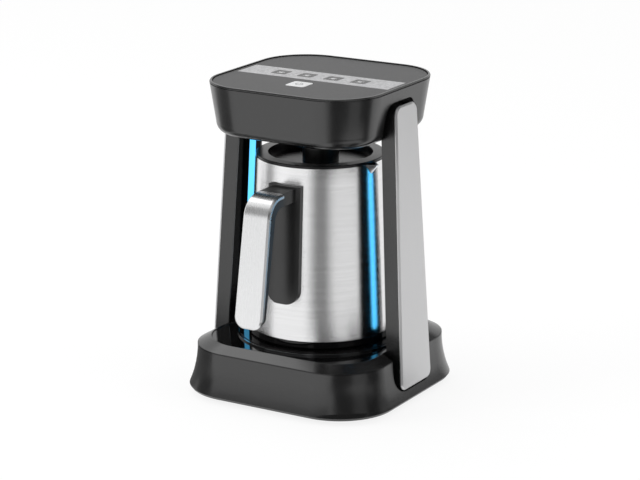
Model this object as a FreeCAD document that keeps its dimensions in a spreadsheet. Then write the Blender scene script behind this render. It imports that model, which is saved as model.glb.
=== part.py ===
import FreeCAD, Part
import math
import os
import types
import Sketcher
from FreeCAD import Placement, Rotation, Vector

# An electric turkish coffee maker: a stand of base, two leaning pillars and head, and a lidded pot with
# its handle to the front. Millimetres, +Z up, -Y to the user, origin on the floor under the middle of
# the box that the whole maker fills.

# name, value, what it is
SIZES = (
    ("overall_height", 235, "floor to the rim of the head"),
    ("fit_gap", 0.3, "play between pieces that sit in each other"),
    ("plastic_wall", 2.6, "wall of the moulded shells"),
    # base
    ("foot_height", 3.7, "rubber feet under the lower edge of the base"),
    ("foot_radius", 7, "radius of a rubber foot"),
    ("foot_inset", 26.2, "feet in from the widest line, both ways"),
    ("base_half", 83.2, "half width of the base where it is widest"),
    ("base_corner", 44, "corner radius there"),
    ("base_edge", 2, "height of the turned-in lower edge"),
    ("base_edge_in", 1.5, "how far the lower edge turns in"),
    ("flare_height", 18.6, "height of the middle of the flared wall"),
    ("flare_in", 4.3, "how far the wall has come in there"),
    ("rim_height", 37, "height of the crease above the flared wall"),
    ("rim_in", 6.4, "how far the wall has come in there"),
    ("mouth_height", 41.8, "top of the sloping rim"),
    ("mouth_in", 14.7, "how far the top of the rim has come in"),
    ("mouth_corner_in", 11, "how much smaller its corner radius is"),
    ("rim_lip", 0.8, "flat lip round the tray"),
    ("tray_drop", 0.5, "tray below the top of the rim"),
    ("tray_thick", 2.5, "thickness of the tray"),
    ("tray_hole_in", 5.2, "hole in the tray, smaller than the bright ring"),
    ("bottom_thick", 2, "thickness of the bottom plate"),
    ("boss_radius", 4.5, "screw bosses in the base"),
    ("boss_x", 40, "bosses from the middle, across"),
    ("boss_inset", 17.2, "bosses in from the widest line, front and back"),
    ("screw_radius", 1.5, "shank of the case screws"),
    ("screw_head", 3.2, "radius of their heads"),
    ("screw_head_high", 1.5, "height of their heads"),
    ("screw_reach", 10, "screw above the bottom plate"),
    ("screw_spare", 1, "hole deeper than its screw"),
    # heater
    ("seat_up", 1.7, "top of the heater plate above the tray"),
    ("seat_in", 20.8, "bright ring, in from the widest line"),
    ("seat_ring_wide", 1.6, "width of the bright ring"),
    ("seat_ring_drop", 0.5, "bright ring below the heater plate"),
    ("heater_deep", 3.3, "heater plate below the top of the tray"),
    ("element_in", 19.2, "middle of the heating element, in from the tray's hole"),
    ("element_tube", 3.3, "radius of its tube"),
    ("element_sweep", 320, "angle that the tube runs round"),
    ("element_leg", 14, "length of its two cold ends"),
    ("thermostat_radius", 8, "thermostat under the heater plate"),
    ("thermostat_high", 6, "its height"),
    # power board
    ("power_x", 70, "power board across"),
    ("power_y", 46, "power board front to back"),
    ("board_thick", 1.6, "thickness of the circuit boards"),
    ("power_post", 4, "posts under the power board"),
    ("post_radius", 3, "radius of the board posts"),
    ("post_inset", 5, "posts from the board's edges"),
    ("relay_x", 19, "relay across"),
    ("relay_y", 15, "relay front to back"),
    ("relay_high", 15, "relay height"),
    # cord gland
    ("gland_height", 16, "gland above the floor"),
    ("gland_seat", 6, "seat of the gland's collar, in from the widest line"),
    ("gland_radius", 6, "gland where it passes the wall"),
    ("gland_collar", 8.2, "its collars"),
    ("gland_collar_thick", 2, "thickness of a collar"),
    ("gland_bore", 3.6, "radius of the way through it"),
    ("gland_inside", 8, "gland inside the wall"),
    # pillars
    ("pillar_lean", 3, "lean of the pillars, degrees"),
    ("pillar_foot", 13.3, "lower end of the pillars"),
    ("pillar_drop", 12.5, "upper end of the pillars below the rim of the head"),
    ("pillar_foot_half", 22.3, "half depth at the lower end"),
    ("pillar_top_half", 15.3, "half depth at the upper end"),
    ("pillar_foot_corner", 6, "corner radius at the lower end"),
    ("pillar_top_corner", 7, "corner radius at the upper end"),
    ("trim_thick", 1.8, "thickness of the silver trim"),
    ("trim_bevel", 1.1, "bevel round its face"),
    ("pillar_thick", 11, "pillar without its trim"),
    ("panel_thick", 1.6, "glossy inner panel"),
    ("panel_edge", 1.4, "wall round the inner panel"),
    ("channel_edge", 3.4, "wall round the channel behind it"),
    ("channel_back", 2.2, "outer wall of the channel"),
    ("light_half", 4.4, "half width of the light bar"),
    ("light_proud", 2.6, "black surround of the light bar in front of the panel"),
    ("light_sunk", 0.3, "light bar behind the face of its surround"),
    ("light_surround", 1.2, "width of the surround"),
    ("light_foot", 50, "lower end of the light bar"),
    ("light_drop", 1.9, "upper end of the light bar below the head"),
    ("light_flange", 2, "flange each side of the light bar"),
    ("light_flange_thick", 1.2, "thickness of the flange"),
    ("led_half", 6, "half width of the light board"),
    ("led_thick", 1, "thickness of the light board"),
    ("chip_size", 3.5, "edge of a light chip"),
    ("chip_high", 1.2, "height of a light chip"),
    ("chip_count", 8, "light chips on a board"),
    # notches
    ("notch_wall", 2, "wall round the notches"),
    ("base_notch_half", 26.8, "half width of a notch in the base"),
    ("base_notch_foot", 11.8, "lower end of a notch in the base"),
    ("base_notch_corner", 13, "corner radius of a notch in the base"),
    ("head_notch_half", 21.8, "half width of a notch at the head's underside"),
    ("head_notch_narrow", 1.3, "how much narrower it is at the top"),
    ("head_notch_drop", 9.8, "upper end of a notch below the rim of the head"),
    ("head_notch_corner", 10, "corner radius of a notch in the head"),
    # head
    ("head_high", 38.5, "height of the head"),
    ("head_in", 14.4, "head at its top, in from the base's widest line"),
    ("head_corner_in", 6.4, "how much smaller its corner radius is"),
    ("head_edge", 1, "height of the rounded top edge"),
    ("head_edge_in", 0.6, "how far the top edge comes in"),
    ("seam_high", 0.8, "height of the groove under that edge"),
    ("seam_deep", 1, "depth of the groove"),
    ("head_taper", 4.6, "how far the wall comes in going down"),
    ("head_round", 8.5, "height of the lower rounding"),
    ("head_round_mid", 3.3, "middle of the rounding above the underside"),
    ("head_round_mid_in", 6.3, "how far it has come in there"),
    ("head_foot_in", 11, "how far the underside has come in"),
    ("head_floor", 2.5, "thickness of the head's underside"),
    ("head_ledge", 3.2, "ledge under the top panel"),
    ("rim_wall", 1.3, "wall round the top panel"),
    ("top_gap", 0.7, "groove between that wall and the top panel"),
    ("top_drop", 0.7, "top panel below the rim"),
    ("top_thick", 2.8, "thickness of the top panel"),
    ("strip_half", 13.5, "half width of the silver strip"),
    ("strip_thick", 0.6, "thickness of the silver strip"),
    ("strip_in", 3, "ends of the strip, in from the edge of the panel"),
    ("window_half", 6, "half width of a cup window"),
    ("window_corner", 1.4, "its corner radius"),
    ("window_step", 22.2, "cup windows apart"),
    ("window_gap", 0.15, "play round a cup window"),
    ("key_half", 7.7, "half width of the power key"),
    ("key_corner", 2, "its corner radius"),
    ("key_place", 30, "power key in front of the middle"),
    ("key_proud", 0.3, "power key above the panel"),
    ("key_travel", 0.6, "travel of the power key"),
    ("key_rest", 0.1, "play between the pressed key and its switch"),
    ("key_flange", 1.4, "flange that keeps the key in"),
    ("key_flange_thick", 0.8, "its thickness"),
    ("switch_size", 6, "tact switch, both ways"),
    ("switch_high", 2.4, "its height"),
    ("plunger_radius", 1.7, "its plunger"),
    ("control_x", 90, "control board across"),
    ("control_front", 42, "control board in front of the middle"),
    ("control_back", 20, "control board behind the middle"),
    ("control_post", 5, "posts between top panel and board"),
    ("control_screw", 1.2, "shank of the board screws"),
    ("control_screw_head", 2.4, "radius of their heads"),
    ("control_screw_high", 1.4, "height of their heads"),
    ("control_screw_reach", 3.5, "screw inside the post"),
    ("buzzer_radius", 6, "buzzer under the control board"),
    ("buzzer_high", 5, "its height"),
    ("boss_top_radius", 22, "sensor boss at the head"),
    ("boss_low_radius", 20, "sensor boss at its lower end"),
    ("boss_deep", 10, "sensor boss below the head"),
    ("sensor_radius", 5, "foam sensor"),
    ("sensor_up", 1, "foam sensor above the boss's lower end"),
    ("sensor_flange", 8, "radius of the sensor's flange"),
    ("sensor_flange_thick", 1.5, "its thickness"),
    # pot
    ("pot_lift", 0.3, "pot above the heater plate"),
    ("foot_ring_high", 5.6, "black ring round the pot's foot"),
    ("foot_ring_play", 0.1, "black ring above the lowest face of the pot"),
    ("pot_clear", 19.5, "mouth of the pot below the head"),
    ("pot_margin", 8.9, "lower edge of the cone, in from the bright ring"),
    ("pot_taper", 5.6, "how much narrower the mouth is"),
    ("pot_wall", 0.9, "steel wall"),
    ("foot_ring_wide", 4.1, "width of the black ring"),
    ("pot_base_thick", 3, "thickness of the steel base"),
    ("foot_ring_bevel", 0.8, "bevel at the foot ring"),
    ("spout_deep", 7, "height of the spout"),
    ("spout_half", 8, "half width of the spout where it leaves the pot"),
    ("spout_reach", 6.5, "how far the spout reaches out"),
    ("spout_nose", 1.2, "half width of the spout's nose"),
    ("spout_root", 4, "where the spout starts, inside the mouth"),
    ("spout_turn", 10, "spout from the right side towards the handle, degrees"),
    # lid
    ("lid_in", 0.6, "lid's edge, in from the outside of the mouth"),
    ("lid_thick", 2, "thickness of the lid's edge"),
    ("lid_rim_wide", 8.7, "raised rim round the dish in the lid"),
    ("lid_dish_deep", 6, "its depth"),
    ("lid_dish_slope", 1, "how much narrower the dish is at its floor"),
    ("lid_floor", 2.4, "thickness of the lid under the dish"),
    ("lid_edge", 0.4, "bevel of the lid's edge"),
    ("skirt_gap", 1.2, "play between skirt and pot"),
    ("lid_skirt_deep", 7, "depth of the skirt"),
    ("lid_skirt_wall", 2.4, "wall of the skirt"),
    ("seal_thick", 2.2, "height of the seal's groove"),
    ("seal_deep", 1, "depth of the seal's groove"),
    ("seal_place", 3.6, "groove below the pot's mouth"),
    ("knob_radius", 13.4, "radius of the knob"),
    ("knob_clear", 2.5, "knob below the sensor boss"),
    ("knob_round", 1.2, "rounding of the knob"),
    ("knob_screw", 2, "radius of the knob screw"),
    ("knob_screw_head", 4, "radius of its head"),
    # handle
    ("pad_half", 13.4, "half width of the pad on the pot"),
    ("pad_long", 87.4, "length of the pad"),
    ("pad_up", 1, "pad above the top of the arm"),
    ("pad_corner", 10, "corner radius at its lower end"),
    ("pad_thick", 3.6, "thickness of the pad"),
    ("arm_drop", 14, "top of the handle's arm below the mouth"),
    ("arm_thick", 9.3, "height of the arm"),
    ("core_half", 10.8, "half width of the black moulding at the foot of the grip"),
    ("grip_long", 93.3, "length of the grip"),
    ("grip_reach", 39.4, "grip's corner from the pot's mouth"),
    ("grip_slant", 15.2, "how far the grip leans out over its length"),
    ("grip_top_thick", 9.2, "depth of the grip at its corner"),
    ("grip_foot_thick", 7.2, "depth of the grip at its lower end"),
    ("grip_bend", 17, "outer radius of the bend"),
    ("grip_bend_in", 10, "inner radius of the bend"),
    ("grip_foot_corner", 8, "corner radius at the lower end"),
    ("plate_half", 11.6, "half width of the metal plate at the foot of the grip"),
    ("grip_narrow", 1, "how much narrower both are at the arm"),
    ("plate_thick", 3.2, "thickness of the metal plate"),
    ("plate_flat", 18.8, "part of the plate that lies on the arm"),
    ("plate_bevel", 1.3, "bevel of its edges"),
)


def as_size(value):
    return value if isinstance(value, Size) else Size(value, str(value))


class Size:
    """A number together with the formula that ties it to the sheet."""

    def __init__(self, number, formula):
        self.number = number
        self.formula = formula

    def __add__(self, other):
        other = as_size(other)
        return Size(self.number + other.number, f"({self.formula} + {other.formula})")

    def __sub__(self, other):
        other = as_size(other)
        return Size(self.number - other.number, f"({self.formula} - {other.formula})")

    def __mul__(self, other):
        other = as_size(other)
        return Size(self.number * other.number, f"({self.formula} * {other.formula})")

    def __truediv__(self, other):
        other = as_size(other)
        return Size(self.number / other.number, f"({self.formula} / {other.formula})")

    def __neg__(self):
        return Size(-self.number, f"(0 - {self.formula})")


def square_root(size):
    return Size(math.sqrt(size.number), f"sqrt({size.formula})")


doc = FreeCAD.newDocument("CoffeeMaker")
sheet = doc.addObject("Spreadsheet::Sheet", "Sizes")
for row, (name, value, meaning) in enumerate(SIZES, 1):
    sheet.set(f"A{row}", name)
    sheet.set(f"B{row}", str(value))
    sheet.set(f"C{row}", meaning)
    sheet.setAlias(f"B{row}", name)
doc.recompute()
S = types.SimpleNamespace(**{name: Size(value, f"Sizes.{name}") for name, value, meaning in SIZES})

# What follows from those sizes. Across: the pillars, the head, the seat and the pot keep their distance
# from the base's widest line. Up: the head hangs from the overall height, and the pot ends below the head.
S.pillar_out = S.base_half
S.pillar_top = S.overall_height - S.pillar_drop
S.head_notch_top = S.overall_height - S.head_notch_drop
S.foot_place = S.base_half - S.foot_inset
S.boss_y = S.base_half - S.boss_inset
S.mouth_half = S.base_half - S.mouth_in
S.mouth_corner = S.base_corner - S.mouth_corner_in
S.head_half = S.base_half - S.head_in
S.head_corner = S.base_corner - S.head_corner_in
S.head_foot = S.overall_height - S.head_high
S.head_taper_end = S.head_foot + S.head_round
S.head_round_at = S.head_foot + S.head_round_mid
S.light_top = S.head_foot - S.light_drop
S.boss_low = S.head_foot - S.boss_deep
S.seat_height = S.mouth_height - S.tray_drop + S.seat_up
S.seat_radius = S.base_half - S.seat_in
S.tray_hole = S.seat_radius - S.tray_hole_in
S.element_radius = S.tray_hole - S.element_in
S.pot_foot = S.seat_height + S.pot_lift
S.pot_ring_top = S.pot_foot + S.foot_ring_high
S.pot_mouth = S.head_foot - S.pot_clear
S.pot_foot_radius = S.seat_radius - S.pot_margin
S.pot_mouth_radius = S.pot_foot_radius - S.pot_taper
S.pot_base_radius = S.pot_foot_radius - S.foot_ring_wide
S.spout_foot = S.pot_mouth - S.spout_deep
S.lid_radius = S.pot_mouth_radius - S.lid_in
S.lid_dish_radius = S.lid_radius - S.lid_rim_wide
S.lid_skirt_radius = S.pot_mouth_radius - S.pot_wall - S.skirt_gap
S.knob_top = S.boss_low - S.knob_clear
S.arm_top = S.pot_mouth - S.arm_drop
S.pad_top = S.arm_top + S.pad_up
S.pad_foot = S.pad_top - S.pad_long
S.grip_foot = S.arm_top - S.grip_long
S.grip_top_out = S.pot_mouth_radius + S.grip_reach
S.grip_foot_out = S.grip_top_out + S.grip_slant
S.grip_top_in = S.grip_top_out - S.grip_top_thick
S.grip_foot_in = S.grip_foot_out - S.grip_foot_thick
S.plate_start = S.grip_top_out - S.plate_flat

ZERO = Size(0, "0")
# The handle reaches further forward than the base reaches back, so the stand's own axis lies behind the
# origin by half the difference.
AXIS_Y = (S.grip_foot_out - S.base_half) / 2
# How far a cutter runs past what it cuts.
PAST = 10
# A round end takes almost the whole half width, so that a sliver of straight edge is left between two.
ALMOST = 0.98
parts = {}


# Helpers for documents

def tie(item, path, size):
    item.setExpression(path, as_size(size).formula)


def place(item, x=ZERO, y=ZERO, z=ZERO):
    tie(item, ".Placement.Base.x", x)
    tie(item, ".Placement.Base.y", AXIS_Y + y)
    tie(item, ".Placement.Base.z", z)


def keep(name, item):
    item.Label = name
    parts[name] = item
    return item


def new_body(name, x=ZERO, y=ZERO, z=ZERO):
    body = doc.addObject("PartDesign::Body", name)
    body.Label = name
    place(body, x, y, z)
    return body


def new_sketch(body, role, height=ZERO):
    sketch = body.newObject("Sketcher::SketchObject", body.Name + "_sketch")
    plane = [item for item in body.Origin.OriginFeatures if item.Role == role][0]
    sketch.AttachmentSupport = (plane, "")
    sketch.MapMode = "FlatFace"
    tie(sketch, "AttachmentOffset.Base.z", height)
    return sketch


def named(sketch, constraint, size):
    index = sketch.addConstraint(constraint)
    label = f"size_{index}"
    sketch.renameConstraint(index, label)
    tie(sketch, "Constraints." + label, size)


def fix_point(sketch, line, end, x=None, y=None):
    """Hold one end of a line at its distance from the sketch's origin."""
    for kind, size, axis in (("DistanceX", x, -2), ("DistanceY", y, -1)):
        if size is None:
            continue
        if size.number == 0:
            sketch.addConstraint(Sketcher.Constraint("PointOnObject", line, end, axis))
        elif size.number > 0:
            named(sketch, Sketcher.Constraint(kind, -1, 1, line, end, size.number), size)
        else:
            named(sketch, Sketcher.Constraint(kind, line, end, -1, 1, -size.number), -size)


def polygon(body, role, points, height=ZERO):
    """Closed outline of straight lines through the given points."""
    sketch = new_sketch(body, role, height)
    points = [(as_size(x), as_size(y)) for x, y in points]
    count = len(points)
    for index, (x, y) in enumerate(points):
        end_x, end_y = points[(index + 1) % count]
        start = Vector(x.number, y.number, 0)
        sketch.addGeometry(Part.LineSegment(start, Vector(end_x.number, end_y.number, 0)))
    for index in range(count):
        sketch.addConstraint(Sketcher.Constraint("Coincident", index, 2, (index + 1) % count, 1))
    for index, (x, y) in enumerate(points):
        fix_point(sketch, index, 1, x, y)
    return sketch


def rounded_square(body, half, corner, height=ZERO):
    """Square outline with round corners, square to the axes and centred on the body."""
    sketch = new_sketch(body, "XY_Plane", height)
    a = half.number
    r = corner.number
    ends = ((a, -a + r, a, a - r), (a - r, a, -a + r, a), (-a, a - r, -a, -a + r), (-a + r, -a, a - r, -a))
    centres = ((a - r, a - r), (-a + r, a - r), (-a + r, -a + r), (a - r, -a + r))
    for turn, (line, centre) in enumerate(zip(ends, centres)):
        sketch.addGeometry(Part.LineSegment(Vector(line[0], line[1], 0), Vector(line[2], line[3], 0)))
        circle = Part.Circle(Vector(centre[0], centre[1], 0), Vector(0, 0, 1), r)
        start = turn * math.pi / 2
        sketch.addGeometry(Part.ArcOfCircle(circle, start, start + math.pi / 2))
    for index in range(8):
        sketch.addConstraint(Sketcher.Constraint("Tangent", index, 2, (index + 1) % 8, 1))
    for index, kind in ((0, "Vertical"), (2, "Horizontal"), (4, "Vertical"), (6, "Horizontal")):
        sketch.addConstraint(Sketcher.Constraint(kind, index))
    for index in (3, 5, 7):
        sketch.addConstraint(Sketcher.Constraint("Equal", 1, index))
    named(sketch, Sketcher.Constraint("Radius", 1, r), corner)
    fix_point(sketch, 0, 1, x=half)
    fix_point(sketch, 2, 1, y=half)
    fix_point(sketch, 4, 1, x=-half)
    fix_point(sketch, 6, 1, y=-half)
    return sketch


def pad(body, sketch, length, middle=False):
    feature = body.newObject("PartDesign::Pad", body.Name + "_pad")
    feature.Profile = sketch
    if middle:
        feature.Midplane = True
    tie(feature, "Length", length)
    return feature


def spin(body, sketch, kind="Revolution"):
    feature = body.newObject("PartDesign::" + kind, body.Name + "_" + kind.lower())
    feature.Profile = sketch
    feature.ReferenceAxis = (sketch, ["V_Axis"])
    feature.Angle = 360
    return feature


def loft(body, sections, ruled, kind="AdditiveLoft"):
    feature = body.newObject("PartDesign::" + kind, body.Name + "_loft")
    feature.Profile = sections[0]
    feature.Sections = sections[1:]
    feature.Ruled = ruled
    return feature


def dress(body, kind, amount_name, amount, chosen):
    """Fillet or chamfer the edges of the body so far that the test picks out."""
    doc.recompute()
    tip = body.Tip
    names = [f"Edge{number}" for number, edge in enumerate(tip.Shape.Edges, 1) if chosen(edge)]
    feature = body.newObject("PartDesign::" + kind, body.Name + "_" + kind.lower())
    feature.Base = (tip, names)
    tie(feature, amount_name, amount)
    return feature


def fillet(body, radius, chosen):
    return dress(body, "Fillet", "Radius", radius, chosen)


def chamfer(body, width, chosen):
    return dress(body, "Chamfer", "Size", width, chosen)


def runs_along(edge, direction):
    """True for a straight edge that lies along the given direction."""
    if len(edge.Vertexes) < 2 or not isinstance(edge.Curve, Part.Line):
        return False
    way = edge.Vertexes[1].Point - edge.Vertexes[0].Point
    return way.getAngle(direction) < 0.01 or way.getAngle(-direction) < 0.01


def near(a, b, within=0.05):
    return abs(a - b) < within


def cylinder(name, radius, height, x=ZERO, y=ZERO, z=ZERO):
    item = doc.addObject("Part::Cylinder", name)
    item.Label = name
    tie(item, "Radius", radius)
    tie(item, "Height", height)
    place(item, x, y, z)
    return item


def box(name, length, width, height, x=ZERO, y=ZERO, z=ZERO):
    """Box centred on x and y, standing on z."""
    item = doc.addObject("Part::Box", name)
    item.Label = name
    tie(item, "Length", length)
    tie(item, "Width", width)
    tie(item, "Height", height)
    place(item, x - as_size(length) / 2, y - as_size(width) / 2, z)
    return item


def along_depth(item):
    """Lay a piece down so that its own axis runs from back to front."""
    item.Placement.Rotation = Rotation(Vector(1, 0, 0), 90)
    return item


def cone(name, foot_radius, top_radius, height, z):
    item = doc.addObject("Part::Cone", name)
    item.Label = name
    tie(item, "Radius1", foot_radius)
    tie(item, "Radius2", top_radius)
    tie(item, "Height", height)
    place(item, z=z)
    return item


def fuse(name, *items):
    item = doc.addObject("Part::MultiFuse", name)
    item.Label = name
    item.Shapes = list(items)
    return item


def cut(name, base, *tools):
    item = doc.addObject("Part::Cut", name)
    item.Label = name
    item.Base = base
    item.Tool = tools[0] if len(tools) == 1 else fuse(name + "_tools", *tools)
    return item


def common(name, *items):
    item = doc.addObject("Part::MultiCommon", name)
    item.Label = name
    item.Shapes = list(items)
    return item


def group(name, items):
    """Several equal solids kept as one node."""
    item = doc.addObject("Part::Compound", name)
    item.Label = name
    item.Links = items
    return item


def mirrored(name, source):
    """The left twin of a piece of the right side."""
    item = doc.addObject("Part::Mirroring", name)
    item.Label = name
    item.Source = source
    item.Base = Vector(0, 0, 0)
    item.Normal = Vector(1, 0, 0)
    return item


def both_sides(item):
    return item, mirrored("left_" + item.Label, item)


# Pillar frame: x is 0 on the outer face of the trim and negative towards the pot, z runs up the lean.

def lean(body):
    body.Placement = Placement(Vector(0, 0, 0), Rotation(Vector(0, -1, 0), S.pillar_lean.number))
    tie(body, ".Placement.Rotation.Angle", S.pillar_lean)
    place(body, x=S.pillar_out)


def pillar_block(name, inner, outer, foot, top, foot_half, top_half, foot_corner, top_corner):
    """A tapered slab in the pillar frame, from x inner to x outer, with round ends."""
    body = doc.addObject("PartDesign::Body", name)
    body.Label = name
    lean(body)
    outline = ((-foot_half, foot), (foot_half, foot), (top_half, top), (-top_half, top))
    pad(body, polygon(body, "YZ_Plane", outline, inner), outer - inner)
    middle = (foot.number + top.number) / 2
    across = Vector(1, 0, 0)
    if foot_corner is not None:
        fillet(body, foot_corner, lambda edge: runs_along(edge, across) and edge.CenterOfMass.z < middle)
    if top_corner is not None:
        fillet(body, top_corner, lambda edge: runs_along(edge, across) and edge.CenterOfMass.z > middle)
    return body


def pillar_slab(name, inner, outer, inset=ZERO):
    """A slab with the pillar's own outline, drawn in by inset."""
    return pillar_block(name, inner, outer, S.pillar_foot + inset, S.pillar_top - inset,
                        S.pillar_foot_half - inset, S.pillar_top_half - inset,
                        S.pillar_foot_corner - inset, S.pillar_top_corner - inset)


SHELL_OUT = -S.trim_thick
SHELL_IN = SHELL_OUT - S.pillar_thick
NOTCH_IN = SHELL_IN - S.fit_gap
LINER_IN = NOTCH_IN - S.notch_wall
FAR_OUT = as_size(2 * PAST)


def base_notch(name, inner, spread, foot_drop):
    half = S.base_notch_half + spread
    return pillar_block(name, inner, FAR_OUT, S.base_notch_foot - foot_drop, S.mouth_height + 2 * PAST,
                        half, half, S.base_notch_corner, None)


def head_notch(name, inner, spread):
    half = S.head_notch_half + spread
    return pillar_block(name, inner, FAR_OUT, S.head_foot - 2 * PAST, S.head_notch_top + spread,
                        half, half - S.head_notch_narrow, None, S.head_notch_corner)


# Base

TRAY_FOOT = S.mouth_height - S.tray_drop - S.tray_thick
TRAY_TOP = S.mouth_height - S.tray_drop
TRAY_HALF = S.mouth_half - S.rim_lip - S.fit_gap
TRAY_CORNER = S.mouth_corner - S.rim_lip - S.fit_gap
BOTTOM_TOP = S.foot_height + S.bottom_thick
BASE_CEILING = TRAY_FOOT - S.plastic_wall
INNER_EDGE = S.base_edge_in + S.plastic_wall
CORNERS = ((1, 1), (-1, 1), (-1, -1), (1, -1))


def base_section(body, inward, height):
    return rounded_square(body, S.base_half - inward, S.base_corner - inward, height)


def make_base_shell():
    outer = new_body("base_outer")
    edge_top = S.foot_height + S.base_edge
    lower = base_section(outer, S.base_edge_in, S.foot_height)
    loft(outer, [lower, base_section(outer, ZERO, edge_top)], True)
    flare = [base_section(outer, ZERO, edge_top), base_section(outer, S.flare_in, S.flare_height),
             base_section(outer, S.rim_in, S.rim_height)]
    loft(outer, flare, False)
    mouth = rounded_square(outer, S.mouth_half, S.mouth_corner, S.mouth_height)
    loft(outer, [base_section(outer, S.rim_in, S.rim_height), mouth], True)

    cavity = new_body("base_cavity")
    loft(cavity, [base_section(cavity, INNER_EDGE, S.foot_height - PAST),
                  base_section(cavity, INNER_EDGE, S.foot_height + S.bottom_thick),
                  base_section(cavity, S.flare_in + S.plastic_wall, S.flare_height),
                  base_section(cavity, S.rim_in + S.plastic_wall, BASE_CEILING)], True)
    liners = both_sides(base_notch("base_liner", LINER_IN, S.notch_wall, S.notch_wall))
    bosses = [cylinder("base_boss", S.boss_radius, BASE_CEILING - BOTTOM_TOP, S.boss_x * x, S.boss_y * y,
                       BOTTOM_TOP) for x, y in CORNERS]
    # A round pad of solid wall carries the gland.
    gland_pad = along_depth(cylinder("gland_pad", S.gland_collar + S.fit_gap + S.rim_lip * 2,
                                     S.gland_seat + S.plastic_wall + PAST, y=S.base_half + PAST,
                                     z=S.gland_height))
    hollow = cut("base_hollow", cavity, gland_pad, *liners, *bosses)

    mouth_body = new_body("base_mouth")
    opening = rounded_square(mouth_body, TRAY_HALF + S.fit_gap, TRAY_CORNER + S.fit_gap, TRAY_FOOT)
    pad(mouth_body, opening, as_size(PAST))
    mouth_cut = cut("base_mouth_cut", mouth_body, *liners)
    well = cylinder("base_well", S.tray_hole, as_size(PAST), z=TRAY_FOOT - PAST / 2)
    holes = [cylinder("boss_hole", S.screw_radius + S.fit_gap, S.screw_reach + S.screw_spare, S.boss_x * x,
                      S.boss_y * y, BOTTOM_TOP) for x, y in CORNERS]
    gland_hole = along_depth(cylinder("gland_hole", S.gland_radius + S.fit_gap, S.gland_seat + 2 * PAST,
                                      y=S.base_half + PAST / 2, z=S.gland_height))
    gland_recess = along_depth(cylinder("gland_recess", S.gland_collar + S.fit_gap, S.gland_seat + PAST,
                                        y=S.base_half + PAST, z=S.gland_height))
    notches = both_sides(base_notch("base_notch", NOTCH_IN, ZERO, ZERO))
    keep("base_shell", cut("base_shell", outer, hollow, mouth_cut, well, gland_hole, gland_recess, *notches,
                           *holes))


def make_tray():
    body = new_body("tray_plate")
    pad(body, rounded_square(body, TRAY_HALF, TRAY_CORNER, TRAY_FOOT), S.tray_thick)
    hole = cylinder("tray_round", S.tray_hole, as_size(2 * PAST), z=TRAY_FOOT - PAST)
    bites = both_sides(base_notch("tray_bite", LINER_IN - S.fit_gap, S.notch_wall + S.fit_gap, ZERO))
    keep("base_tray", cut("base_tray", body, hole, *bites))


def make_bottom():
    body = new_body("bottom_sheet")
    half = S.base_half - INNER_EDGE - S.fit_gap
    pad(body, rounded_square(body, half, S.base_corner - INNER_EDGE - S.fit_gap, S.foot_height),
        S.bottom_thick)
    posts = [cylinder("power_post", S.post_radius, S.power_post, x, y, BOTTOM_TOP)
             for x, y in board_corners(S.power_x, S.power_y)]
    holes = [cylinder("bottom_hole", S.screw_radius + S.fit_gap, as_size(PAST), S.boss_x * x,
                      S.boss_y * y, S.foot_height - PAST / 2) for x, y in CORNERS]
    # The pillars' feet stand in pockets of the base whose floors lie above this sheet.
    keep("bottom_plate", cut("bottom_plate", fuse("bottom_with_posts", body, *posts), *holes))
    feet = [cylinder("foot", S.foot_radius, S.foot_height, S.foot_place * x, S.foot_place * y)
            for x, y in CORNERS]
    keep("rubber_feet", group("rubber_feet", feet))
    screws = []
    for x, y in CORNERS:
        head = cylinder("screw_head", S.screw_head, S.screw_head_high, S.boss_x * x, S.boss_y * y,
                        S.foot_height - S.screw_head_high)
        shank = cylinder("screw_shank", S.screw_radius, S.screw_reach + S.bottom_thick, S.boss_x * x,
                         S.boss_y * y, S.foot_height)
        screws.append(fuse("base_screw", head, shank))
    keep("base_screws", group("base_screws", screws))


def board_corners(length, width):
    reach_x = length / 2 - S.post_inset
    reach_y = width / 2 - S.post_inset
    return [(reach_x * x, reach_y * y) for x, y in CORNERS]


def make_gland():
    body = along_depth(new_body("cord_gland", y=S.base_half, z=S.gland_height))
    # Spun about the gland's own axis, which runs inwards from the back of the base.
    outer_face = S.gland_seat - S.fit_gap
    inner_face = S.gland_seat + S.plastic_wall + S.fit_gap
    sleeve_end = inner_face + S.gland_inside
    collar_start = outer_face - S.gland_collar_thick
    outline = ((S.gland_bore, collar_start), (S.gland_collar, collar_start), (S.gland_collar, outer_face),
               (S.gland_radius, outer_face), (S.gland_radius, inner_face), (S.gland_collar, inner_face),
               (S.gland_collar, inner_face + S.gland_collar_thick),
               (S.gland_radius, inner_face + S.gland_collar_thick), (S.gland_radius, sleeve_end),
               (S.gland_bore, sleeve_end))
    spin(body, polygon(body, "XZ_Plane", outline))
    keep("cord_gland", body)


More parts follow.
